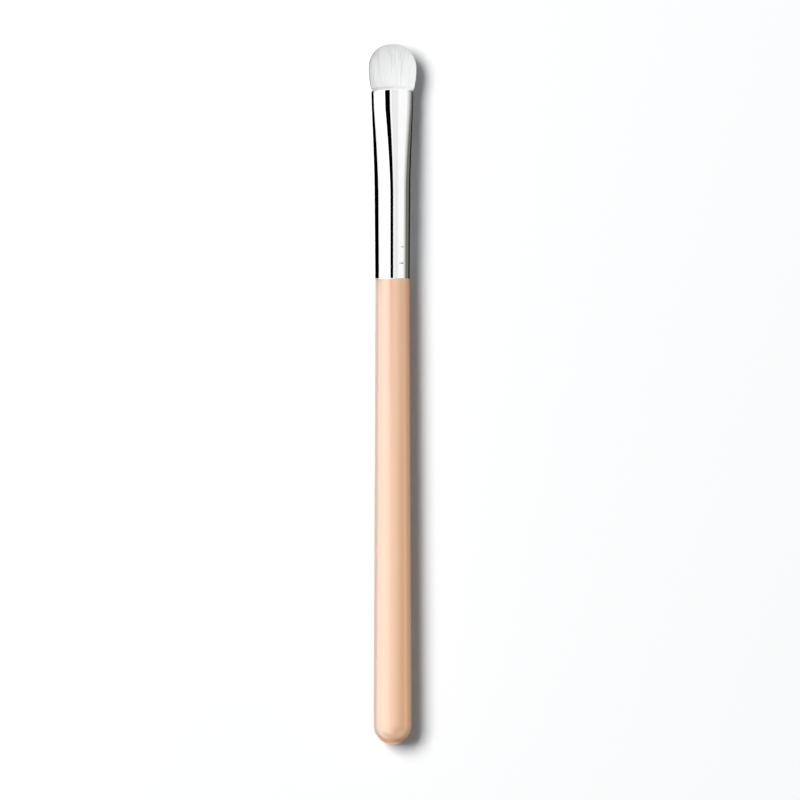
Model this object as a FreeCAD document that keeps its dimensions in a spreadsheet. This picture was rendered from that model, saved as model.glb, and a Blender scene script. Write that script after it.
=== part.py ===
import FreeCAD, Part
import math
import os

import Sketcher

# Eyeshadow brush with a domed flat tuft, a pressed metal ferrule and a lacquered wooden handle.
# Every body is drawn with the brush's axis along Y and its origin on the handle's shoulder, where
# the ferrule's back rim stands; the tuft is toward +Y and the flat faces look along Z.

os.makedirs("parts", exist_ok=True)
doc = FreeCAD.newDocument("EyeshadowBrush")

# Driving sizes in millimetres and degrees
SIZES = {
    # handle
    "handle_length": 103.0,
    "butt_diameter": 8.45,
    "butt_land_length": 8.0,
    "neck_diameter": 7.6,
    "lacquer_thickness": 0.2,
    # tenon that carries the ferrule
    "tenon_fit": 0.1,
    "tenon_setback": 0.8,
    "tenon_chamfer": 0.8,
    "glue_start": 1.5,
    # ferrule: a tapered round barrel, pressed flat from the press start, counted back from the mouth
    "ferrule_length": 42.0,
    "ferrule_wall": 0.25,
    "barrel_front_diameter": 7.88,
    "press_start": 23.4,
    "land_length": 4.7,
    "land_width": 9.25,
    "land_thickness": 5.6,
    "mouth_width": 9.45,
    "mouth_thickness": 5.4,
    "mouth_crown": 0.6,
    # rings that crimp the barrel onto the tenon
    "crimp_start": 3.2,
    "crimp_pitch": 3.6,
    "crimp_depth": 0.03,
    "crimp_roller_radius": 0.5,
    # tuft
    "tuft_length": 10.0,
    "tuft_width": 10.65,
    "tuft_widest_height": 4.6,
    "tuft_thickness": 5.7,
    "tuft_fit": 0.1,
    "root_depth": 14.0,
    "root_gather": 0.7,
    # resin plug that holds the hair roots
    "plug_length": 7.0,
    "plug_fit": 0.03,
    "root_embed": 3.0,
    # length by which a cut passes the faces that it opens
    "cut_overrun": 1.0,
    # turn from the middle of a cross-section's face arc to its join with the side arc
    "tube_join_angle": 6.0,
    "hair_join_angle": 22.0,
}

# Shares of the way from the barrel to the flat land at which the tube's cross-section is drawn
PRESS_SHARES = (0.2, 0.4, 0.55, 0.7, 0.85, 1.0)
# Power of the distance with which the tube goes from round to flat
PRESS_POWER = 1.5
# Shares of the height from the mouth to the tuft's widest place
SWELL_SHARES = (0.25, 0.5, 0.75, 1.0)
# Shares of the quarter turn from the widest place over the dome to its tip
DOME_SHARES = (0.2, 0.4, 0.58, 0.74, 0.88)

sheet = doc.addObject("Spreadsheet::Sheet", "Sizes")
for row, (alias, value) in enumerate(SIZES.items(), start=1):
    sheet.set("A%d" % row, alias)
    sheet.set("B%d" % row, str(value))
    sheet.setAlias("B%d" % row, alias)
doc.recompute()


def size(expression):
    """Value of an expression in the sheet's sizes."""
    return float(sheet.evalExpression(expression))


# Places along the axis, counted from the shoulder
BUTT_POLE = "-Sizes.handle_length"
DOME_BASE = "(Sizes.butt_diameter / 2 - Sizes.handle_length)"
BUTT_LAND_FRONT = "(%s + Sizes.butt_land_length)" % DOME_BASE
MOUTH = "Sizes.ferrule_length"
PRESS_START = "(%s - Sizes.press_start)" % MOUTH
TENON_FRONT = "(%s - Sizes.tenon_setback)" % PRESS_START
GLUE_FRONT = "(%s - Sizes.tenon_chamfer)" % TENON_FRONT
LAND_START = "(%s - Sizes.land_length)" % MOUTH
LAND_END = "(%s + Sizes.cut_overrun)" % MOUTH
ROOT_END = "(%s - Sizes.root_depth)" % MOUTH
PLUG_FRONT = "(%s + Sizes.root_embed)" % ROOT_END
PLUG_BACK = "(%s - Sizes.plug_length)" % PLUG_FRONT
TUFT_WIDEST = "(%s + Sizes.tuft_widest_height)" % MOUTH
TUFT_TIP = "(%s + Sizes.tuft_length)" % MOUTH

# Radii about the axis
BUTT_RADIUS = "(Sizes.butt_diameter / 2)"
NECK_RADIUS = "(Sizes.neck_diameter / 2)"
CORE_BUTT_RADIUS = "(%s - Sizes.lacquer_thickness)" % BUTT_RADIUS
CORE_NECK_RADIUS = "(%s - Sizes.lacquer_thickness)" % NECK_RADIUS


def barrel_radius(along):
    """Outer radius of the ferrule's round barrel, which starts flush with the handle's neck."""
    growth = "(Sizes.barrel_front_diameter / 2 - %s)" % NECK_RADIUS
    return "(%s + %s * %s / %s)" % (NECK_RADIUS, growth, along, PRESS_START)


def bore_radius(along):
    """Inner radius of the ferrule's round barrel."""
    return "(%s - Sizes.ferrule_wall)" % barrel_radius(along)


def tenon_radius(along):
    """Radius of the tenon, which follows the bore with room for the adhesive."""
    return "(%s - Sizes.tenon_fit)" % bore_radius(along)


def new_body(label):
    """Empty body whose axis lies one butt radius above the ground, centred along the brush."""
    body = doc.addObject("PartDesign::Body", label)
    body.Label = label
    body.setExpression("Placement.Base.y", "(Sizes.handle_length - %s) / 2" % TUFT_TIP)
    body.setExpression("Placement.Base.z", BUTT_RADIUS)
    return body


def new_sketch(body, name, plane_role):
    """Empty sketch on one of the body's own origin planes."""
    sketch = body.newObject("Sketcher::SketchObject", name)
    plane = next(item for item in body.Origin.OriginFeatures if item.Role == plane_role)
    sketch.AttachmentSupport = [(plane, "")]
    sketch.MapMode = "FlatFace"
    return sketch


def bind(sketch, kind, places, expression):
    """Dimension of a sketch, bound to the sheet."""
    index = sketch.addConstraint(Sketcher.Constraint(kind, *places, size(expression)))
    sketch.setExpression("Constraints[%d]" % index, expression)


def pin_point(sketch, edge, end, across, along):
    """Fixes a point of a sketch at two expressions counted from the sketch's origin."""
    if across == "0":
        sketch.addConstraint(Sketcher.Constraint("PointOnObject", edge, end, -2))
    else:
        bind(sketch, "DistanceX", (-1, 1, edge, end), across)
    if along == "0":
        sketch.addConstraint(Sketcher.Constraint("PointOnObject", edge, end, -1))
    else:
        bind(sketch, "DistanceY", (-1, 1, edge, end), along)


def outline(body, name, points, rounds=()):
    """Closed outline in the XY plane; the edges numbered in rounds are quarter arcs to the axis."""
    sketch = new_sketch(body, name, "XY_Plane")
    places = [FreeCAD.Vector(size(across), size(along), 0) for across, along in points]
    edges = []
    for index, start in enumerate(places):
        finish = places[(index + 1) % len(places)]
        if index in rounds:
            # the arc's centre is on the axis, level with the end that is off it
            rim = max(start, finish, key=lambda place: place.x)
            centre = FreeCAD.Vector(0, rim.y, 0)
            circle = Part.Circle(centre, FreeCAD.Vector(0, 0, 1), rim.x)
            edge = sketch.addGeometry(Part.ArcOfCircle(circle, -math.pi / 2, 0), False)
            sketch.addConstraint(Sketcher.Constraint("PointOnObject", edge, 3, -2))
            edges.append((edge, 1, 2) if start.x < finish.x else (edge, 2, 1))
        else:
            edge = sketch.addGeometry(Part.LineSegment(start, finish), False)
            edges.append((edge, 1, 2))
    for index, (edge, first, last) in enumerate(edges):
        before, _, before_last = edges[index - 1]
        sketch.addConstraint(Sketcher.Constraint("Coincident", before, before_last, edge, first))
        pin_point(sketch, edge, first, *points[index])
    return sketch


def revolve(body, kind, name, sketch):
    """Full turn of a sketch about the brush's axis."""
    turned = body.newObject("PartDesign::" + kind, name)
    turned.Profile = sketch
    turned.ReferenceAxis = (sketch, ["V_Axis"])
    turned.Angle = 360
    return turned


def oval(body, name, along, half_width, half_thickness, join_angle):
    """Cross-section of two side arcs and two flatter face arcs that meet tangent to each other."""
    sketch = new_sketch(body, name, "XZ_Plane")
    sketch.setExpression("AttachmentOffset.Base.z", "-(%s)" % along)
    # the normal at each join is turned from the X axis by this angle
    join = "(90 - %s)" % join_angle
    slope = "tan(45 + %s / 2)" % join
    side = "((%s * %s - %s) / (%s * sin(%s) - 1 + cos(%s)))" % (
        slope, half_thickness, half_width, slope, join, join)
    face = "((%s - %s * sin(%s)) / (1 - sin(%s)))" % (half_thickness, side, join, join)
    side_offset = "(%s - %s)" % (half_width, side)
    face_offset = "(%s - %s)" % (face, half_thickness)

    turn = math.radians(size(join))
    up = FreeCAD.Vector(0, 0, 1)
    to_side = FreeCAD.Vector(size(side_offset), 0, 0)
    to_face = FreeCAD.Vector(0, -size(face_offset), 0)
    arcs = (
        (to_side, size(side), -turn, turn),
        (to_face, size(face), turn, math.pi - turn),
        (-to_side, size(side), math.pi - turn, math.pi + turn),
        (-to_face, size(face), math.pi + turn, 2 * math.pi - turn),
    )
    right, top, left, bottom = [
        sketch.addGeometry(Part.ArcOfCircle(Part.Circle(centre, up, radius), first, last), False)
        for centre, radius, first, last in arcs
    ]
    for edge, next_edge in ((right, top), (top, left), (left, bottom), (bottom, right)):
        sketch.addConstraint(Sketcher.Constraint("Coincident", edge, 2, next_edge, 1))
    pin_point(sketch, right, 2, "(%s * cos(%s))" % (face, join), "(%s * sin(%s))" % (side, join))
    sketch.addConstraint(Sketcher.Constraint("Symmetric", right, 2, right, 1, -1))
    sketch.addConstraint(Sketcher.Constraint("Symmetric", top, 1, top, 2, -2))
    sketch.addConstraint(Sketcher.Constraint("Symmetric", left, 1, left, 2, -1))
    if half_width == half_thickness:
        # a round section: all four arcs share the centre on the axis
        for edge, axis in ((right, -2), (top, -1), (left, -2), (bottom, -1)):
            sketch.addConstraint(Sketcher.Constraint("PointOnObject", edge, 3, axis))
    else:
        bind(sketch, "DistanceX", (-1, 1, right, 3), side_offset)
        bind(sketch, "DistanceX", (left, 3, -1, 1), side_offset)
        bind(sketch, "DistanceY", (top, 3, -1, 1), face_offset)
        bind(sketch, "DistanceY", (-1, 1, bottom, 3), face_offset)
    return sketch


def loft(body, kind, name, sketches):
    """Straight-ruled skin through cross-sections, in order along the axis."""
    skin = body.newObject("PartDesign::" + kind, name)
    skin.Profile = sketches[0]
    skin.Sections = sketches[1:]
    skin.Ruled = True
    return skin


# Cross-sections of the pressed tube, which the hair root and the resin follow inside it

def tube_oval(body, name, along, inset):
    """Sketch of the tube between the barrel and the flat land, drawn inward by an inset."""
    share = "((%s - %s) / (%s - %s))" % (along, PRESS_START, LAND_START, PRESS_START)
    front = "Sizes.barrel_front_diameter"
    half_width, half_thickness = [
        "((%s + (%s - %s) * %s ^ %s) / 2 - %s)" % (front, target, front, share, PRESS_POWER, inset)
        for target in ("Sizes.land_width", "Sizes.land_thickness")
    ]
    return oval(body, name, along, half_width, half_thickness, "Sizes.tube_join_angle")


def land_oval(body, name, along, inset):
    """Sketch of the tube on the flat land, which runs straight to the mouth and beyond."""
    share = "((%s - %s) / Sizes.land_length)" % (along, LAND_START)
    half_width, half_thickness = [
        "((%s + (%s - %s) * %s) / 2 - %s)" % (start, end, start, share, inset)
        for start, end in (("Sizes.land_width", "Sizes.mouth_width"),
                           ("Sizes.land_thickness", "Sizes.mouth_thickness"))
    ]
    return oval(body, name, along, half_width, half_thickness, "Sizes.tube_join_angle")


# Turned wooden core: domed butt, taper, shoulder and the tenon that goes into the ferrule
handle_core = new_body("handle_core")
core_outline = outline(handle_core, "core_outline", (
    ("0", "(%s + Sizes.lacquer_thickness)" % BUTT_POLE),
    (CORE_BUTT_RADIUS, DOME_BASE),
    (CORE_BUTT_RADIUS, BUTT_LAND_FRONT),
    (CORE_NECK_RADIUS, "0"),
    (tenon_radius("0"), "0"),
    (tenon_radius(GLUE_FRONT), GLUE_FRONT),
    ("(%s - Sizes.tenon_chamfer)" % tenon_radius(GLUE_FRONT), TENON_FRONT),
    ("0", TENON_FRONT),
), rounds=(0,))
revolve(handle_core, "Revolution", "core_turning", core_outline)

# Lacquer coat over everything that shows of the wood
lacquer_coat = new_body("lacquer_coat")
coat_outline = outline(lacquer_coat, "coat_outline", (
    ("0", BUTT_POLE),
    (BUTT_RADIUS, DOME_BASE),
    (BUTT_RADIUS, BUTT_LAND_FRONT),
    (NECK_RADIUS, "0"),
    (CORE_NECK_RADIUS, "0"),
    (CORE_BUTT_RADIUS, BUTT_LAND_FRONT),
    (CORE_BUTT_RADIUS, DOME_BASE),
    ("0", "(%s + Sizes.lacquer_thickness)" % BUTT_POLE),
), rounds=(0, 6))
revolve(lacquer_coat, "Revolution", "coat_turning", coat_outline)

# Film of adhesive between the tenon and the ferrule's bore
tenon_glue = new_body("tenon_glue")
film_outline = outline(tenon_glue, "film_outline", (
    (tenon_radius("Sizes.glue_start"), "Sizes.glue_start"),
    (bore_radius("Sizes.glue_start"), "Sizes.glue_start"),
    (bore_radius(GLUE_FRONT), GLUE_FRONT),
    (tenon_radius(GLUE_FRONT), GLUE_FRONT),
))
revolve(tenon_glue, "Revolution", "film_turning", film_outline)

# Ferrule: round barrel, pressed length and flat land, first solid and then bored
ferrule = new_body("ferrule")
barrel_outline = outline(ferrule, "barrel_outline", (
    (bore_radius("0"), "0"),
    (barrel_radius("0"), "0"),
    (barrel_radius(PRESS_START), PRESS_START),
    (bore_radius(PRESS_START), PRESS_START),
))
revolve(ferrule, "Revolution", "barrel", barrel_outline)
for skin_name, skin_kind, inset in (
    ("outer", "AdditiveLoft", "0"),
    ("bore", "SubtractiveLoft", "Sizes.ferrule_wall"),
):
    round_half = "(Sizes.barrel_front_diameter / 2 - %s)" % inset
    pressed = [oval(ferrule, skin_name + "_round", PRESS_START, round_half, round_half,
                    "Sizes.tube_join_angle")]
    for number, share in enumerate(PRESS_SHARES, start=1):
        along = "(%s + %s * (%s - %s))" % (PRESS_START, share, LAND_START, PRESS_START)
        pressed.append(tube_oval(ferrule, "%s_press_%d" % (skin_name, number), along, inset))
    loft(ferrule, skin_kind, skin_name + "_pressed", pressed)
    land = [land_oval(ferrule, skin_name + "_land_start", LAND_START, inset),
            land_oval(ferrule, skin_name + "_land_end", LAND_END, inset)]
    loft(ferrule, skin_kind, skin_name + "_land", land)

# Mouth trimmed to an arc, so that the middle of each flat face reaches furthest over the hair
HALF_MOUTH = "(Sizes.mouth_width / 2)"
TRIM_RADIUS = "((%s ^ 2 + Sizes.mouth_crown ^ 2) / (2 * Sizes.mouth_crown))" % HALF_MOUTH
TRIM_CENTRE = "(%s - %s)" % (MOUTH, TRIM_RADIUS)
TRIM_HALF = "(%s + Sizes.cut_overrun)" % HALF_MOUTH
TRIM_SIDE = "(%s + sqrt(%s ^ 2 - %s ^ 2))" % (TRIM_CENTRE, TRIM_RADIUS, TRIM_HALF)
TRIM_TOP = "(%s + Sizes.cut_overrun)" % LAND_END
mouth_trim = new_sketch(ferrule, "mouth_trim", "XY_Plane")
right_foot = FreeCAD.Vector(size(TRIM_HALF), size(TRIM_SIDE), 0)
left_foot = FreeCAD.Vector(-right_foot.x, right_foot.y, 0)
right_top = FreeCAD.Vector(right_foot.x, size(TRIM_TOP), 0)
left_top = FreeCAD.Vector(left_foot.x, right_top.y, 0)
crown = FreeCAD.Vector(0, size(MOUTH), 0)
arc = mouth_trim.addGeometry(Part.Arc(right_foot, crown, left_foot), False)
rise, top, fall = [
    mouth_trim.addGeometry(Part.LineSegment(first, last), False)
    for first, last in ((left_foot, left_top), (left_top, right_top), (right_top, right_foot))
]
for edge, next_edge in ((arc, rise), (rise, top), (top, fall), (fall, arc)):
    mouth_trim.addConstraint(Sketcher.Constraint("Coincident", edge, 2, next_edge, 1))
pin_point(mouth_trim, arc, 1, TRIM_HALF, TRIM_SIDE)
mouth_trim.addConstraint(Sketcher.Constraint("Symmetric", arc, 1, arc, 2, -2))
bind(mouth_trim, "DistanceY", (-1, 1, arc, 3), TRIM_CENTRE)
pin_point(mouth_trim, top, 2, TRIM_HALF, TRIM_TOP)
mouth_trim.addConstraint(Sketcher.Constraint("Symmetric", top, 1, top, 2, -2))
mouth_cut = ferrule.newObject("PartDesign::Pocket", "mouth_cut")
mouth_cut.Profile = mouth_trim
mouth_cut.Type = "ThroughAll"
mouth_cut.SideType = "Symmetric"

# Two shallow rings rolled into the barrel over the tenon
crimp_rings = new_sketch(ferrule, "crimp_rings", "XY_Plane")
for along in ("Sizes.crimp_start", "(Sizes.crimp_start + Sizes.crimp_pitch)"):
    across = "(%s + Sizes.crimp_roller_radius - Sizes.crimp_depth)" % barrel_radius(along)
    centre = FreeCAD.Vector(size(across), size(along), 0)
    roller = Part.Circle(centre, FreeCAD.Vector(0, 0, 1), size("Sizes.crimp_roller_radius"))
    ring = crimp_rings.addGeometry(roller, False)
    pin_point(crimp_rings, ring, 3, across, along)
    bind(crimp_rings, "Radius", (ring,), "Sizes.crimp_roller_radius")
revolve(ferrule, "Groove", "crimping", crimp_rings)


def root_inset(along, clearance):
    """Inset of the hair root, which gathers inward from the mouth to its end."""
    share = "((%s - %s) / Sizes.root_depth)" % (MOUTH, along)
    return "(Sizes.ferrule_wall + %s + Sizes.root_gather * %s)" % (clearance, share)


# Resin plug: fills the tube behind the hair and rises round the roots
root_glue = new_body("root_glue")
plug_sections = [
    tube_oval(root_glue, "plug_" + name, along, "(Sizes.ferrule_wall + Sizes.plug_fit)")
    for name, along in (("back", PLUG_BACK), ("middle", ROOT_END), ("front", PLUG_FRONT))
]
loft(root_glue, "AdditiveLoft", "plug", plug_sections)
CUP_FLOOR = "(%s - Sizes.tuft_fit)" % ROOT_END
CUP_FRONT = "(%s + Sizes.cut_overrun)" % PLUG_FRONT
cup_sections = [
    tube_oval(root_glue, "cup_" + name, along, root_inset(along, "0"))
    for name, along in (("floor", CUP_FLOOR), ("front", CUP_FRONT))
]
loft(root_glue, "SubtractiveLoft", "cup", cup_sections)

# Tuft: the root inside the ferrule, then the swell above the mouth and the dome
tuft = new_body("tuft")
ROOT_RISE = "((%s + %s) / 2)" % (PLUG_FRONT, LAND_START)
root_sections = [
    tube_oval(tuft, "root_" + name, along, root_inset(along, "Sizes.tuft_fit"))
    for name, along in (("end", ROOT_END), ("middle", PLUG_FRONT), ("rise", ROOT_RISE))
]
root_sections += [
    land_oval(tuft, "root_" + name, along, root_inset(along, "Sizes.tuft_fit"))
    for name, along in (("land", LAND_START), ("mouth", MOUTH))
]
loft(tuft, "AdditiveLoft", "root", root_sections)

MOUTH_HALVES = ["(%s / 2 - Sizes.ferrule_wall - Sizes.tuft_fit)" % whole
                for whole in ("Sizes.mouth_width", "Sizes.mouth_thickness")]
WIDEST_HALVES = ["(%s / 2)" % whole for whole in ("Sizes.tuft_width", "Sizes.tuft_thickness")]
swell_sections = [root_sections[-1]]
for number, share in enumerate(SWELL_SHARES, start=1):
    along = "(%s + %s * Sizes.tuft_widest_height)" % (MOUTH, share)
    halves = ["(%s + (%s - %s) * sin(90 * %s))" % (start, end, start, share)
              for start, end in zip(MOUTH_HALVES, WIDEST_HALVES)]
    swell_sections.append(oval(tuft, "swell_%d" % number, along, *halves, "Sizes.hair_join_angle"))
loft(tuft, "AdditiveLoft", "swell", swell_sections)

dome_sections = [swell_sections[-1]]
for number, share in enumerate(DOME_SHARES, start=1):
    along = "(%s + (%s - %s) * sin(90 * %s))" % (TUFT_WIDEST, TUFT_TIP, TUFT_WIDEST, share)
    halves = ["(%s * cos(90 * %s))" % (half, share) for half in WIDEST_HALVES]
    dome_sections.append(oval(tuft, "dome_%d" % number, along, *halves, "Sizes.hair_join_angle"))
tip = new_sketch(tuft, "tip", "XZ_Plane")
tip.setExpression("AttachmentOffset.Base.z", "-(%s)" % TUFT_TIP)
tip_point = tip.addGeometry(Part.Point(FreeCAD.Vector(0, 0, 0)), False)
tip.addConstraint(Sketcher.Constraint("Coincident", tip_point, 1, -1, 1))
loft(tuft, "AdditiveLoft", "dome", dome_sections + [tip])

# Every object has to compute, and every body to be one valid solid, before the files are written
doc.recompute()
for item in doc.Objects:
    if "Invalid" in item.State or "Error" in item.State:
        raise RuntimeError("%s did not compute" % item.Label)
for body in (handle_core, lacquer_coat, tenon_glue, ferrule, root_glue, tuft):
    if body.Shape.isNull() or not body.Shape.isValid() or len(body.Shape.Solids) != 1:
        raise RuntimeError("%s is not one valid solid" % body.Label)
    body.Shape.exportStep("parts/%s.step" % body.Label)
    box = body.Shape.optimalBoundingBox(True, False)
    print("%s: %.1f mm3, from (%.2f %.2f %.2f) to (%.2f %.2f %.2f)" % (
        body.Label, body.Shape.Volume, box.XMin, box.YMin, box.ZMin, box.XMax, box.YMax, box.ZMax))
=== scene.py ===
import math
import random

import bpy
from mathutils import Matrix, Vector


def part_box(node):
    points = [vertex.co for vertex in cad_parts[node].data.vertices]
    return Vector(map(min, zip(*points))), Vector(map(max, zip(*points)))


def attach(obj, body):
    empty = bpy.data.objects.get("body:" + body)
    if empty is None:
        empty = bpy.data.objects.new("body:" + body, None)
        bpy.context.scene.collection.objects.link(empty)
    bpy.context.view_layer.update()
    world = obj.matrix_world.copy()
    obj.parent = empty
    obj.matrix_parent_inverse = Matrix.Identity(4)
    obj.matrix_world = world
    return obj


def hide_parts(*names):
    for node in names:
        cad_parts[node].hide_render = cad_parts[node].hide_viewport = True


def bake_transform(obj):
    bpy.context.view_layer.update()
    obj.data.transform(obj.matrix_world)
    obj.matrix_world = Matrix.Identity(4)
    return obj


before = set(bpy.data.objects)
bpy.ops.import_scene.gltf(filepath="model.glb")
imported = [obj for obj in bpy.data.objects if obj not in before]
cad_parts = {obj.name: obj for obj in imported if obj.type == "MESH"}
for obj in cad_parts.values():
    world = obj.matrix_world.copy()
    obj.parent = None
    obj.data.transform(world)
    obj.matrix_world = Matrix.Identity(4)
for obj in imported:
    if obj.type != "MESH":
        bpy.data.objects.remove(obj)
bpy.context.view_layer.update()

# Units and the brush's line: places along it are in millimetres from the handle's shoulder

MM = 0.001
SHOULDER_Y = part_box("ferrule")[0].y
AXIS_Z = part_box("lacquer_coat")[1].z / 2


def place(across, along, above):
    """Point of the brush in metres, from millimetres across, along and above its axis."""
    return Vector((across * MM, SHOULDER_Y + along * MM, AXIS_Z + above * MM))


def new_mesh(name, points, faces):
    """Smooth-shaded mesh object in the scene."""
    mesh = bpy.data.meshes.new(name)
    mesh.from_pydata(points, [], faces)
    mesh.validate()
    mesh.shade_smooth()
    obj = bpy.data.objects.new(name, mesh)
    bpy.context.scene.collection.objects.link(obj)
    return obj


def ring_faces(ring_count, ring_size, closed=False):
    """Quads between neighbouring rings of points, and from the last ring to the first if closed."""
    faces = []
    for ring in range(ring_count if closed else ring_count - 1):
        this = ring * ring_size
        after = (ring + 1) % ring_count * ring_size
        for index in range(ring_size):
            beside = (index + 1) % ring_size
            faces.append((this + index, this + beside, after + beside, after + index))
    return faces


# Materials

NOISE_RANGE = (0.3, 0.7)
STRAND_SHADE_SHARE = 0.35
STREAK_SHIFT = 0.17


def new_material(name):
    """Material with its node tree and its main shader."""
    material = bpy.data.materials.new(name)
    material.use_nodes = True
    return material, material.node_tree, material.node_tree.nodes["Principled BSDF"]


def add_node(tree, kind, **settings):
    """Node of a kind, with properties or named inputs set."""
    node = tree.nodes.new(kind)
    for key, value in settings.items():
        if key in node.inputs:
            node.inputs[key].default_value = value
        else:
            setattr(node, key, value)
    return node


def combine(tree, operation, *values):
    """Result of a math node on sockets and plain numbers."""
    node = add_node(tree, "ShaderNodeMath", operation=operation)
    for socket, value in zip(node.inputs, values):
        if isinstance(value, float):
            socket.default_value = value
        else:
            tree.links.new(value, socket)
    return node.outputs["Value"]


def stretched_noise(tree, scale, stretch, detail=4.0):
    """Noise in object space, stretched along the axes."""
    coords = add_node(tree, "ShaderNodeTexCoord")
    mapping = add_node(tree, "ShaderNodeMapping", Scale=stretch)
    noise = add_node(tree, "ShaderNodeTexNoise", Scale=scale, Detail=detail)
    tree.links.new(coords.outputs["Object"], mapping.inputs["Vector"])
    tree.links.new(mapping.outputs["Vector"], noise.inputs["Vector"])
    return noise.outputs["Fac"]


def span(tree, factor, low, high):
    """Number that runs from low to high with a factor."""
    node = add_node(tree, "ShaderNodeMapRange")
    node.inputs["To Min"].default_value = low
    node.inputs["To Max"].default_value = high
    tree.links.new(factor, node.inputs["Value"])
    return node.outputs["Result"]


def blend_colours(tree, factor, low, high):
    """Colour that runs between two colours over the part of a factor's range where noise mostly lies."""
    ramp = add_node(tree, "ShaderNodeValToRGB")
    for element, position, colour in zip(ramp.color_ramp.elements, NOISE_RANGE, (low, high)):
        element.position = position
        element.color = (*colour, 1.0)
    tree.links.new(factor, ramp.inputs["Fac"])
    return ramp.outputs["Color"]


def bump(tree, shader, height, distance, strength):
    """Fine relief on a shader."""
    node = add_node(tree, "ShaderNodeBump", Distance=distance, Strength=strength)
    tree.links.new(height, node.inputs["Height"])
    tree.links.new(node.outputs["Normal"], shader.inputs["Normal"])


def lacquer_material():
    """Peach satin lacquer: even colour with a faint cloud under a clear coat with soft orange peel."""
    material, tree, shader = new_material("peach_lacquer")
    cloud = stretched_noise(tree, scale=60.0, stretch=(1.0, 0.2, 1.0))
    colour = blend_colours(tree, cloud, low=(0.62, 0.342, 0.188), high=(0.64, 0.355, 0.198))
    tree.links.new(colour, shader.inputs["Base Color"])
    smudge = stretched_noise(tree, scale=300.0, stretch=(1.0, 0.3, 1.0))
    tree.links.new(span(tree, smudge, low=0.3, high=0.36), shader.inputs["Roughness"])
    peel = stretched_noise(tree, scale=900.0, stretch=(1.0, 0.5, 1.0), detail=2.0)
    bump(tree, shader, peel, distance=0.00002, strength=0.05)
    shader.inputs["Coat Weight"].default_value = 1.0
    shader.inputs["Coat Roughness"].default_value = 0.28
    shader.inputs["Coat IOR"].default_value = 1.9
    shader.inputs["Specular IOR Level"].default_value = 1.0
    return material


def chrome_material():
    """Polished plated metal with faint draw lines along the tube."""
    material, tree, shader = new_material("ferrule_chrome")
    shader.inputs["Metallic"].default_value = 1.0
    cloud = stretched_noise(tree, scale=200.0, stretch=(1.0, 0.3, 1.0))
    colour = blend_colours(tree, cloud, low=(0.94, 0.94, 0.945), high=(0.97, 0.97, 0.97))
    tree.links.new(colour, shader.inputs["Base Color"])
    lines = stretched_noise(tree, scale=2500.0, stretch=(1.0, 0.02, 1.0), detail=2.0)
    tree.links.new(span(tree, lines, low=0.03, high=0.04), shader.inputs["Roughness"])
    bump(tree, shader, lines, distance=0.000001, strength=0.02)
    return material


def hair_material():
    """White synthetic hair: each strand has its own shade, with soft streaks along the tuft."""
    material, tree, shader = new_material("white_hair")
    strand_chance = add_node(tree, "ShaderNodeNewGeometry").outputs["Random Per Island"]
    streak = stretched_noise(tree, scale=700.0, stretch=(1.0, 0.08, 1.0))
    shifted = combine(tree, "SUBTRACT", streak, STREAK_SHIFT)
    shade = combine(tree, "MULTIPLY_ADD", strand_chance, STRAND_SHADE_SHARE, shifted)
    colour = blend_colours(tree, shade, low=(0.91, 0.915, 0.905), high=(0.94, 0.94, 0.93))
    tree.links.new(colour, shader.inputs["Base Color"])
    tree.links.new(span(tree, streak, low=0.5, high=0.65), shader.inputs["Roughness"])
    shader.inputs["Specular IOR Level"].default_value = 0.15
    shader.inputs["Sheen Weight"].default_value = 1.0
    shader.inputs["Sheen Roughness"].default_value = 0.4
    return material


def wood_material():
    """Pale hardwood with grain along the handle."""
    material, tree, shader = new_material("handle_wood")
    grain = stretched_noise(tree, scale=900.0, stretch=(1.0, 0.03, 1.0), detail=6.0)
    colour = blend_colours(tree, grain, low=(0.45, 0.29, 0.16), high=(0.66, 0.47, 0.29))
    tree.links.new(colour, shader.inputs["Base Color"])
    tree.links.new(span(tree, grain, low=0.55, high=0.7), shader.inputs["Roughness"])
    bump(tree, shader, grain, distance=0.00005, strength=0.2)
    return material


def resin_material(name, thin, thick):
    """Cured adhesive with a cloudy amber body."""
    material, tree, shader = new_material(name)
    cloud = stretched_noise(tree, scale=400.0, stretch=(1.0, 1.0, 1.0))
    tree.links.new(blend_colours(tree, cloud, low=thick, high=thin), shader.inputs["Base Color"])
    tree.links.new(span(tree, cloud, low=0.2, high=0.35), shader.inputs["Roughness"])
    return material


def dress(obj, material):
    """Gives an object one material."""
    obj.data.materials.clear()
    obj.data.materials.append(material)


hair = hair_material()
dress(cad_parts["lacquer_coat"], lacquer_material())
dress(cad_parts["handle_core"], wood_material())
tenon_adhesive = resin_material("tenon_adhesive", thin=(0.72, 0.66, 0.5), thick=(0.6, 0.52, 0.36))
dress(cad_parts["tenon_glue"], tenon_adhesive)
root_resin = resin_material("root_resin", thin=(0.62, 0.5, 0.3), thick=(0.45, 0.33, 0.16))
dress(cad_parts["root_glue"], root_resin)


# Ferrule: a closed shell with a rounded mouth rim; its pressed end is a little rounder than the solid's

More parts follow.
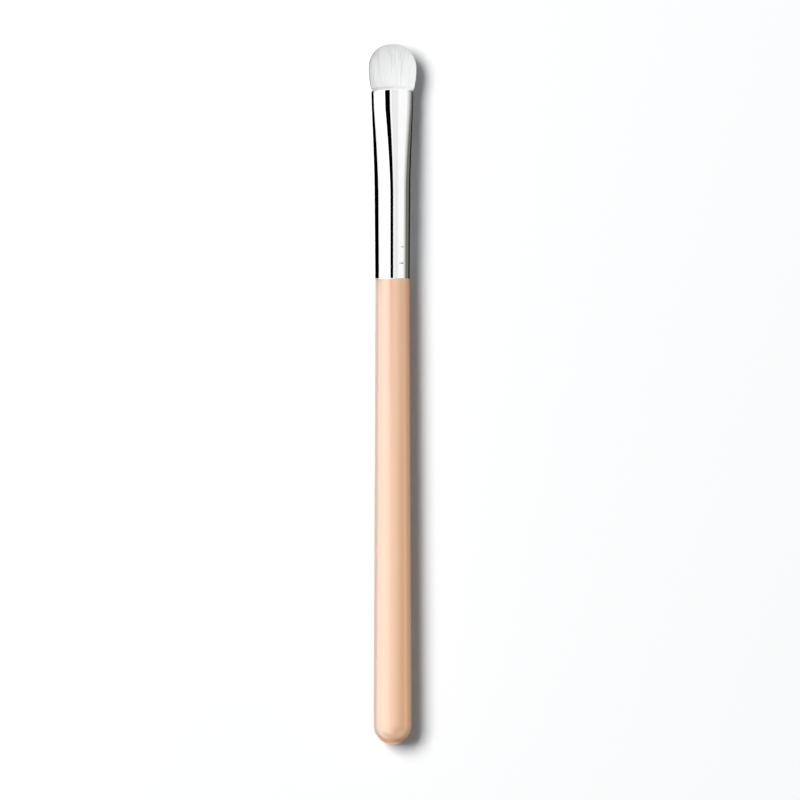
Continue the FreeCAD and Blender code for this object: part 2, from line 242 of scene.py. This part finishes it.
FERRULE_LENGTH = 42.0
FERRULE_WALL = 0.25
NECK_RADIUS = 3.8
BARREL_FRONT_RADIUS = 3.94
PRESS_START = 18.6
PRESS_POWER = 1.5
LAND_START = 37.4
LAND_HALVES = (4.625, 3.03)
MOUTH_HALVES = (4.725, 2.95)
MOUTH_CROWN = 0.6
MOUTH_LIP = 0.4
BACK_RIM_ROUND = 0.02
TUBE_JOIN_DEGREES = 34.0
CRIMPS = (3.2, 6.8)
CRIMP_DEPTH = 0.005
CRIMP_REACH = 0.4
CRIMPED_LENGTH = 8.0
BACK_RIM_DEGREES = (0, 30, 60)
MOUTH_RIM_STEP = 15
CRIMPED_RINGS = 160
BARREL_RINGS = 30
PRESS_RINGS = 80
LAND_RINGS = 20
INNER_PRESS_RINGS = 40
INNER_BARREL_RINGS = 6
FERRULE_AROUND = 192


def tube_halves(along):
    """Half width and half thickness of the ferrule's outer skin."""
    if along <= PRESS_START:
        radius = NECK_RADIUS + (BARREL_FRONT_RADIUS - NECK_RADIUS) * along / PRESS_START
        return radius, radius
    if along <= LAND_START:
        share = ((along - PRESS_START) / (LAND_START - PRESS_START)) ** PRESS_POWER
        return tuple(BARREL_FRONT_RADIUS + (half - BARREL_FRONT_RADIUS) * share for half in LAND_HALVES)
    share = (along - LAND_START) / (FERRULE_LENGTH - LAND_START)
    return tuple(start + (end - start) * share for start, end in zip(LAND_HALVES, MOUTH_HALVES))


def oval_point(half_width, half_thickness, turn):
    """Point, where the outline faces this turn from X, of an oval of four tangent arcs."""
    join = math.radians(90.0 - TUBE_JOIN_DEGREES)
    slope = math.tan(math.pi / 4 + join / 2)
    side = (slope * half_thickness - half_width) / (slope * math.sin(join) - 1 + math.cos(join))
    face = (half_thickness - side * math.sin(join)) / (1 - math.sin(join))
    across, above = math.cos(turn), math.sin(turn)
    if abs(above) <= math.sin(join):
        return side * across + math.copysign(1.0, across) * (half_width - side), side * above
    return face * across, face * above - math.copysign(1.0, above) * (face - half_thickness)


def crimp_inset(along):
    """Depth of the rolled rings below the barrel."""
    inset = 0.0
    for ring in CRIMPS:
        reach = min(1.0, abs(along - ring) / CRIMP_REACH)
        inset += CRIMP_DEPTH * (1 + math.cos(math.pi * reach)) / 2
    return inset


def mouth_along(across):
    """Place of the mouth's edge, which is trimmed to an arc."""
    return FERRULE_LENGTH - MOUTH_CROWN * (across / MOUTH_HALVES[0]) ** 2


def tube_ring(along, inset, turns):
    """Ring of points on the tube; on the land the rings lean until the last follows the mouth's arc."""
    share = max(0.0, (along - LAND_START) / (FERRULE_LENGTH - LAND_START))
    half_width, half_thickness = (half - inset for half in tube_halves(along))
    points = []
    for turn in turns:
        across, above = oval_point(half_width, half_thickness, turn)
        leaned = along + share * (mouth_along(across) - FERRULE_LENGTH)
        points.append(place(across, leaned, above))
    return points


def steps(start, end, count):
    """Evenly spaced numbers from start to end, without the end."""
    return [start + (end - start) * index / count for index in range(count)]


def ferrule_rings():
    """Place along the tube and inset of every ring, from the back rim over the outside and back inside."""
    rings = []
    for degrees in BACK_RIM_DEGREES:
        turn = math.radians(degrees)
        rings.append((BACK_RIM_ROUND * (1 - math.cos(turn)), BACK_RIM_ROUND * (1 - math.sin(turn))))
    outside = steps(BACK_RIM_ROUND, CRIMPED_LENGTH, CRIMPED_RINGS)
    outside += steps(CRIMPED_LENGTH, PRESS_START, BARREL_RINGS)
    outside += steps(PRESS_START, LAND_START, PRESS_RINGS)
    outside += steps(LAND_START, FERRULE_LENGTH - MOUTH_LIP, LAND_RINGS)
    rings += [(along, crimp_inset(along)) for along in outside]
    half_wall = FERRULE_WALL / 2
    for degrees in range(0, 181, MOUTH_RIM_STEP):
        turn = math.radians(degrees)
        rings.append((FERRULE_LENGTH - MOUTH_LIP * (1 - math.sin(turn)), half_wall * (1 - math.cos(turn))))
    inside = steps(FERRULE_LENGTH - 2 * MOUTH_LIP, PRESS_START, INNER_PRESS_RINGS)
    inside += steps(PRESS_START, 0.0, INNER_BARREL_RINGS)
    inside.append(0.0)
    rings += [(along, FERRULE_WALL) for along in inside]
    return rings


def build_ferrule():
    """Chrome ferrule that stands for the solid one."""
    turns = [2 * math.pi * index / FERRULE_AROUND for index in range(FERRULE_AROUND)]
    rings = ferrule_rings()
    points = []
    for along, inset in rings:
        points += tube_ring(along, inset, turns)
    obj = new_mesh("ferrule_shell", points, ring_faces(len(rings), FERRULE_AROUND, closed=True))
    dress(obj, chrome_material())
    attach(obj, "brush_body")
    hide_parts("ferrule")
    return obj


ferrule_shell = build_ferrule()


# Tuft: strands that run straight from the mouth to the dome, over a closed inner bundle

TUFT_LENGTH = 10.1
TUFT_WIDEST = 4.6
ROOT_HALVES = (4.4, 2.6)
WIDEST_HALVES = (5.34, 3.0)
SECTION_POWER = 2.1
DOME_POWER = 2.0
RIM_FLARE = 0.34
RIM_FLARE_HEIGHT = 0.6
LOWER_HEIGHTS = (-1.6, -0.4, 0.0, 0.3, 0.7, 1.8, 3.2)

# Strands: each layer has a share of the tuft's section and a number of strands

STRAND_LAYERS = ((1.0, 640), (0.965, 560))
STRAND_SEED = 7
STRAND_RADIUS = 0.045
STRAND_SIDES = 3
STRAND_DOME_STEPS = 6
STRAND_TAPER = 0.75
STRAND_TAPER_POWER = 3
STRAND_TRIM = 0.1
STRAND_LEAN = 0.01
SPACING_CHANCE = (0.2, 0.8)
DEPTH_CHANCE = (0.995, 1.0)
RADIUS_CHANCE = (0.8, 1.15)
OUTLINE_STEPS = 5760

# Inner bundle

BUNDLE_SHARE = 0.935
BUNDLE_DOME_STEPS = 16
BUNDLE_AROUND = 64


def ease(share):
    """Smooth step from zero to one."""
    share = min(1.0, max(0.0, share))
    return share * share * (3 - 2 * share)


def hair_point(across, above, height):
    """Point of the tuft, from shares of its half width and half thickness at a height over the mouth."""
    rim_height = mouth_along(across * ROOT_HALVES[0]) - FERRULE_LENGTH
    over_rim = height - rim_height
    flare = RIM_FLARE * ease(over_rim / RIM_FLARE_HEIGHT)
    rise = math.sin(min(1.0, max(0.0, over_rim / (TUFT_WIDEST - rim_height))) * math.pi / 2)
    half_width, half_thickness = (root + flare + (widest - root - RIM_FLARE) * rise
                                  for root, widest in zip(ROOT_HALVES, WIDEST_HALVES))
    return place(across * half_width, FERRULE_LENGTH + height, above * half_thickness)


def section_point(turn):
    """Point on the unit outline of the tuft's section, a little squarer than an ellipse."""
    return tuple(math.copysign(abs(reach) ** (2 / SECTION_POWER), reach)
                 for reach in (math.cos(turn), math.sin(turn)))


def dome_left(share, height):
    """Share of the section's power sum that the dome of a layer leaves at a height."""
    inner_height = TUFT_WIDEST + (height - TUFT_WIDEST) / share
    rise = max(0.0, (inner_height - TUFT_WIDEST) / (TUFT_LENGTH - TUFT_WIDEST))
    return max(0.0, 1 - rise ** DOME_POWER)


def dome_heights(rise, count):
    """Heights from the widest place up a dome, closer together toward its top."""
    return [TUFT_WIDEST + rise * math.sin(math.pi / 2 * step / count) for step in range(count + 1)]


def even_turns(count, chance):
    """Turns that are evenly spaced along the widest outline, each moved a little at random."""
    turns = [2 * math.pi * index / OUTLINE_STEPS for index in range(OUTLINE_STEPS + 1)]
    ring = [Vector(section_point(turn)) * Vector(WIDEST_HALVES) for turn in turns]
    lengths = [0.0]
    for before, after in zip(ring, ring[1:]):
        lengths.append(lengths[-1] + (after - before).length)
    index = 0
    for strand in range(count):
        target = lengths[-1] * (strand + chance.uniform(*SPACING_CHANCE)) / count
        while lengths[index + 1] < target:
            index += 1
        yield turns[index]


def strand_path(share, turn, trim, lean):
    """Points of one strand on a layer of the tuft; it ends at the dome's ridge, less a trim."""
    across, above = section_point(turn)
    room = 1 - abs(across) ** SECTION_POWER
    top = TUFT_WIDEST + share * (TUFT_LENGTH - TUFT_WIDEST) * room ** (1 / DOME_POWER) - trim
    path = []
    for height in (*LOWER_HEIGHTS, *dome_heights(top - TUFT_WIDEST, STRAND_DOME_STEPS)):
        left = max(0.0, dome_left(share, height) - abs(across) ** SECTION_POWER)
        depth = math.copysign(left ** (1 / SECTION_POWER), above)
        swayed = across + lean * height / TUFT_LENGTH
        path.append(hair_point(share * swayed, share * depth, height))
    return path


def sweep(points, faces, path, radius):
    """Adds a tapered strand along a path to a list of points and faces."""
    first = len(points)
    for step, centre in enumerate(path):
        ahead = path[min(step + 1, len(path) - 1)] - path[max(step - 1, 0)]
        beside = ahead.cross(Vector((0.0, 0.0, 1.0)))
        beside = beside.normalized() if beside.length > 0 else Vector((1.0, 0.0, 0.0))
        over = beside.cross(ahead).normalized()
        taper = STRAND_TAPER * (step / (len(path) - 1)) ** STRAND_TAPER_POWER
        thick = radius * (1 - taper) * MM
        for side in range(STRAND_SIDES):
            turn = 2 * math.pi * side / STRAND_SIDES
            points.append(centre + thick * (math.cos(turn) * beside + math.sin(turn) * over))
    for quad in ring_faces(len(path), STRAND_SIDES):
        faces.append(tuple(first + index for index in quad))
    last = first + (len(path) - 1) * STRAND_SIDES
    faces.append(tuple(first + side for side in reversed(range(STRAND_SIDES))))
    faces.append(tuple(last + side for side in range(STRAND_SIDES)))


def bend_with_tuft(obj):
    """Gives a hair mesh the hair material and bakes its placement into its points."""
    dress(obj, hair)
    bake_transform(obj)


def build_strands():
    """Layers of strands, evenly spaced with a little disorder."""
    chance = random.Random(STRAND_SEED)
    points, faces = [], []
    for share, count in STRAND_LAYERS:
        for turn in even_turns(count, chance):
            depth = share * chance.uniform(*DEPTH_CHANCE)
            trim = chance.uniform(0.0, STRAND_TRIM)
            lean = chance.uniform(-STRAND_LEAN, STRAND_LEAN)
            radius = STRAND_RADIUS * chance.uniform(*RADIUS_CHANCE)
            sweep(points, faces, strand_path(depth, turn, trim, lean), radius)
    obj = new_mesh("tuft_strands", points, faces)
    bend_with_tuft(obj)
    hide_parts("tuft")
    return obj


def build_bundle():
    """Closed inner bundle just under the strands, so that no gap shows between them."""
    dome_rise = (TUFT_LENGTH - TUFT_WIDEST) * BUNDLE_SHARE
    points = []
    for height in (*LOWER_HEIGHTS, *dome_heights(dome_rise, BUNDLE_DOME_STEPS)[:-1]):
        share = BUNDLE_SHARE * dome_left(BUNDLE_SHARE, height) ** (1 / SECTION_POWER)
        for index in range(BUNDLE_AROUND):
            across, above = section_point(2 * math.pi * index / BUNDLE_AROUND)
            points.append(hair_point(share * across, share * above, height))
    faces = ring_faces(len(points) // BUNDLE_AROUND, BUNDLE_AROUND)
    faces.append(tuple(reversed(range(BUNDLE_AROUND))))
    faces.append(tuple(range(len(points) - BUNDLE_AROUND, len(points))))
    obj = new_mesh("tuft_bundle", points, faces)
    bend_with_tuft(obj)
    return obj


tuft_strands = build_strands()
tuft_bundle = build_bundle()


# Camera: over the brush, turned a little about its line, because the photographed brush seems rolled

IMAGE_PIXELS = 800
BRUSH_LENGTH = 155.0
BRUSH_PIXELS = 700.7
PIXEL = BRUSH_LENGTH / BRUSH_PIXELS * MM
AXIS_PIXEL = (392.4, 394.0)
ROLL = math.radians(14.0)
CAMERA_DISTANCE = 2.0
SENSOR_WIDTH = 36.0

view_right = Vector((math.cos(ROLL), 0.0, math.sin(ROLL)))
view_up = Vector((0.0, 1.0, 0.0))
view_back = Vector((-math.sin(ROLL), 0.0, math.cos(ROLL)))


def view_place(right, up, back):
    """Point at distances in metres along the picture's axes from the middle of the brush."""
    return Vector((0.0, 0.0, AXIS_Z)) + right * view_right + up * view_up + back * view_back


def build_camera():
    """Long lens that frames the brush as the photograph does."""
    data = bpy.data.cameras.new("camera")
    data.sensor_width = SENSOR_WIDTH
    data.lens = SENSOR_WIDTH * CAMERA_DISTANCE / (IMAGE_PIXELS * PIXEL)
    camera = bpy.data.objects.new("camera", data)
    bpy.context.scene.collection.objects.link(camera)
    right = (IMAGE_PIXELS / 2 - AXIS_PIXEL[0]) * PIXEL
    up = (AXIS_PIXEL[1] - IMAGE_PIXELS / 2) * PIXEL
    turn = Matrix((view_right, view_up, view_back)).transposed().to_4x4()
    camera.matrix_world = Matrix.Translation(view_place(right, up, CAMERA_DISTANCE)) @ turn
    bpy.context.scene.camera = camera


build_camera()


# Stage: white floor, pale world and soft boxes

WHITE = (1.0, 1.0, 1.0)
FLOOR_REACH = 4.0
FLOOR_COLOUR = 0.98
FLOOR_LIFT = 0.03
WORLD_FILL = 0.12
FILL_COLOUR = (0.84, 0.94, 1.0)
LIGHT_DISTANCE = 4.0


def seen_directly(tree):
    """One for rays from the camera, from gloss and through glass, and zero for the rest."""
    rays = add_node(tree, "ShaderNodeLightPath").outputs
    camera_or_gloss = combine(tree, "MAXIMUM", rays["Is Camera Ray"], rays["Is Glossy Ray"])
    return combine(tree, "MAXIMUM", camera_or_gloss, rays["Is Transmission Ray"])


def build_floor():
    """Large white floor that takes the brush's shadow."""
    corners = [(across * FLOOR_REACH, along * FLOOR_REACH, 0.0)
               for across, along in ((-1, -1), (1, -1), (1, 1), (-1, 1))]
    floor = new_mesh("floor", corners, [(0, 1, 2, 3)])
    material, tree, shader = new_material("floor_white")
    shader.inputs["Base Color"].default_value = (FLOOR_COLOUR, FLOOR_COLOUR, FLOOR_COLOUR, 1.0)
    shader.inputs["Roughness"].default_value = 1.0
    shader.inputs["Specular IOR Level"].default_value = 0.0
    shader.inputs["Emission Color"].default_value = (*WHITE, 1.0)
    tree.links.new(span(tree, seen_directly(tree), 0.0, FLOOR_LIFT), shader.inputs["Emission Strength"])
    dress(floor, material)
    return floor


def build_world():
    """Surroundings that look white, and give a weak, slightly cool fill light."""
    world = bpy.data.worlds.new("studio")
    world.use_nodes = True
    bpy.context.scene.world = world
    tree = world.node_tree
    background = tree.nodes["Background"]
    seen = seen_directly(tree)
    tree.links.new(blend_colours(tree, seen, FILL_COLOUR, WHITE), background.inputs["Color"])
    tree.links.new(span(tree, seen, WORLD_FILL, 1.0), background.inputs["Strength"])


def receivers(name, objects):
    """Collection of the only objects that a light reaches."""
    collection = bpy.data.collections.new(name)
    for obj in objects:
        collection.objects.link(obj)
    return collection


def soft_box(name, angle, toward_tuft, along, across, power, reached):
    """Area light at an angle to the right of the view; its sizes lie about along and across the brush."""
    turn = math.radians(angle)
    data = bpy.data.lights.new(name, "AREA")
    data.shape = "RECTANGLE"
    data.size = along
    data.size_y = across
    data.energy = power
    light = bpy.data.objects.new(name, data)
    bpy.context.scene.collection.objects.link(light)
    right, back = math.sin(turn) * LIGHT_DISTANCE, math.cos(turn) * LIGHT_DISTANCE
    light.location = view_place(right, toward_tuft, back)
    inward = view_place(0.0, 0.0, 0.0) - light.location
    light.rotation_euler = inward.to_track_quat("-Z", "Y").to_euler()
    light.visible_camera = False
    light.visible_glossy = False
    light.light_linking.receiver_collection = reached


floor = build_floor()
build_world()
floor_only = receivers("floor_only", [floor])
brush_only = receivers("brush_only", [*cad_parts.values(), ferrule_shell, tuft_strands, tuft_bundle])
soft_box("floor_light", angle=-25.0, toward_tuft=1.0, along=2.2, across=1.3,
         power=208.0, reached=floor_only)
soft_box("left_light", angle=-58.0, toward_tuft=1.2, along=2.8, across=4.0,
         power=56.0, reached=brush_only)
soft_box("right_light", angle=24.0, toward_tuft=1.2, along=2.8, across=4.0,
         power=206.0, reached=brush_only)


# Cards that gloss and metal mirror: stretches are places along the brush, angles are degrees from the view

BLACK = (0.0, 0.0, 0.0)
PALE_GREY = (0.87, 0.86, 0.865)
OLIVE_GREY = (0.17, 0.165, 0.13)
DIM_BROWN = (0.24, 0.21, 0.18)
WARM_DARK = (0.2, 0.14, 0.1)
WARM_PALE = (1.0, 0.67, 0.4)

CARD_HEIGHT = 0.4
CARD_SPREAD = 1 + CARD_HEIGHT / CAMERA_DISTANCE
CARD_LIFT = 0.02
WHOLE_STRETCH = (-600.0, 130.0)
HANDLE_STRETCH = (-600.0, -38.0)
JOINT_STRETCH = (-38.0, -16.0)
FERRULE_STRETCH = (-16.0, 130.0)
BESIDE_FERRULE = (0.0, 102.0)
BESIDE_HANDLE = (-220.0, 0.0)
PAST_BUTT = (-240.0, -104.0)
FLAT = (0.0, 0.0)

STRIP_STEP = 5
STRIP_ANGLES = range(-85, 40, STRIP_STEP)
STRIPS_MIDDLE = -56.0
STRIPS_SPREAD = 64.0
STRIP_STRENGTH = 3.0
JOINT_BOOST = 1.8
FERRULE_SLOT = (-15.5, 38.0)

SLOT_LEFT = -13.2
SLOT_RIGHT = 5.6
WHITE_PANEL_STRENGTH = 1.3
RIGHT_DARK_END = 14.0
RIGHT_CARD_END = 160.0
PALE_EDGES = ((22.0, 0.42), (42.0, 0.62), (60.0, 0.77))
PALE_EDGE_HEIGHT = 20.0
LEFT_EDGE_STRENGTH = 2.6
BUTT_STRENGTH = 1.15


def card(name, corners, shade, strength=1.0):
    """Flat card that only reflections see, and at a strength of one after a matt surface."""
    obj = new_mesh(name, corners, [(0, 1, 2, 3)])
    material, tree, shader = new_material(name)
    shader.inputs["Base Color"].default_value = (*BLACK, 1.0)
    shader.inputs["Specular IOR Level"].default_value = 0.0
    shader.inputs["Emission Color"].default_value = (*shade, 1.0)
    depth = add_node(tree, "ShaderNodeLightPath").outputs["Diffuse Depth"]
    tree.links.new(span(tree, depth, strength, 1.0), shader.inputs["Emission Strength"])
    dress(obj, material)
    obj.visible_camera = False
    obj.visible_diffuse = False
    obj.visible_shadow = False
    obj.visible_transmission = False


def overhead_card(name, angles, stretch, shade, strength=1.0):
    """Card over a stretch of the brush that covers a range of angles from the view."""
    left, right = (math.tan(math.radians(angle)) * CARD_HEIGHT for angle in angles)
    near, far = (CARD_SPREAD * place(0.0, along, 0.0).y for along in stretch)
    corners = [view_place(across, along, CARD_HEIGHT)
               for across, along in ((left, near), (right, near), (right, far), (left, far))]
    card(name, corners, shade, strength)


def floor_card(name, sides, rises, stretch, shade, strength=1.0):
    """Card beside a stretch of the brush, in millimetres across and above the floor at its two sides."""
    left, right = (side * MM for side in sides)
    low, high = ((CARD_LIFT + rise) * MM for rise in rises)
    near, far = (place(0.0, along, 0.0).y for along in stretch)
    corners = [(left, near, low), (right, near, high), (right, far, high), (left, far, low)]
    card(name, corners, shade, strength)


def end_card(name, along, half_width, top, shade, strength):
    """Upright card across the brush's line, in millimetres."""
    end = place(0.0, along, 0.0).y
    outline = ((-half_width, 0.0), (half_width, 0.0), (half_width, top), (-half_width, top))
    corners = [(across * MM, end, (CARD_LIFT + rise) * MM) for across, rise in outline]
    card(name, corners, shade, strength)


def light_strips():
    """Bright strips side by side that the gloss mirrors; they leave a slot over the ferrule's face."""
    for angle in STRIP_ANGLES:
        angles = (angle, angle + STRIP_STEP)
        strength = STRIP_STRENGTH * math.exp(-((angle - STRIPS_MIDDLE) / STRIPS_SPREAD) ** 2)
        if FERRULE_SLOT[0] < angles[1] and angles[0] < FERRULE_SLOT[1]:
            overhead_card("panel_strip", angles, HANDLE_STRETCH, WHITE, strength)
            overhead_card("panel_strip", angles, JOINT_STRETCH, WHITE, JOINT_BOOST * strength)
        else:
            overhead_card("panel_strip", angles, WHOLE_STRETCH, WHITE, strength)


def ferrule_panels():
    """White, black and grey panels overhead that draw the lines on the ferrule's face."""
    overhead_card("white_panel", angles=(-20.0, SLOT_LEFT), stretch=FERRULE_STRETCH,
                  shade=WHITE, strength=WHITE_PANEL_STRENGTH)
    overhead_card("dark_slot", angles=(SLOT_LEFT, SLOT_RIGHT), stretch=FERRULE_STRETCH, shade=BLACK)
    overhead_card("grey_panel", angles=(12.0, 38.0), stretch=FERRULE_STRETCH, shade=PALE_GREY)


def handle_panel():
    """Dim panel overhead that keeps the handle's right side from mirroring the white world."""
    stretch = (HANDLE_STRETCH[0], JOINT_STRETCH[1])
    overhead_card("dim_panel", angles=(48.0, 82.0), stretch=stretch, shade=DIM_BROWN)


def ferrule_edges():
    """Dark cards on the floor that draw the ferrule's edges, and paler ones that rise to the right."""
    floor_card("left_dark_edge", sides=(-15.0, -3.0), rises=FLAT, stretch=BESIDE_FERRULE, shade=BLACK)
    floor_card("right_dark_edge", sides=(3.0, RIGHT_DARK_END), rises=FLAT,
               stretch=BESIDE_FERRULE, shade=BLACK)
    floor_card("right_grey_edge", sides=(RIGHT_DARK_END, RIGHT_CARD_END), rises=(0.0, PALE_EDGES[0][0]),
               stretch=BESIDE_FERRULE, shade=OLIVE_GREY)
    for rise, grey in PALE_EDGES:
        floor_card("right_pale_edge", sides=(RIGHT_CARD_END, RIGHT_CARD_END),
                   rises=(rise, rise + PALE_EDGE_HEIGHT), stretch=BESIDE_FERRULE, shade=(grey, grey, grey))


def handle_edges():
    """Bright card to the left of the handle and a dark warm one to the right."""
    floor_card("left_bright_edge", sides=(-400.0, -12.0), rises=(60.0, 0.0), stretch=BESIDE_HANDLE,
               shade=WHITE, strength=LEFT_EDGE_STRENGTH)
    floor_card("right_warm_edge", sides=(4.0, 120.0), rises=(0.0, 24.0), stretch=BESIDE_HANDLE,
               shade=WARM_DARK)


def butt_edges():
    """Warm cards past the butt, so that its tip mirrors them instead of the white floor and world."""
    floor_card("butt_warm_edge", sides=(-40.0, 40.0), rises=FLAT, stretch=PAST_BUTT,
               shade=WARM_PALE, strength=BUTT_STRENGTH)
    end_card("butt_warm_end", along=PAST_BUTT[0], half_width=60.0, top=50.0,
             shade=WARM_PALE, strength=BUTT_STRENGTH)


light_strips()
ferrule_panels()
handle_panel()
ferrule_edges()
handle_edges()
butt_edges()

bpy.context.scene.view_settings.view_transform = "Standard"
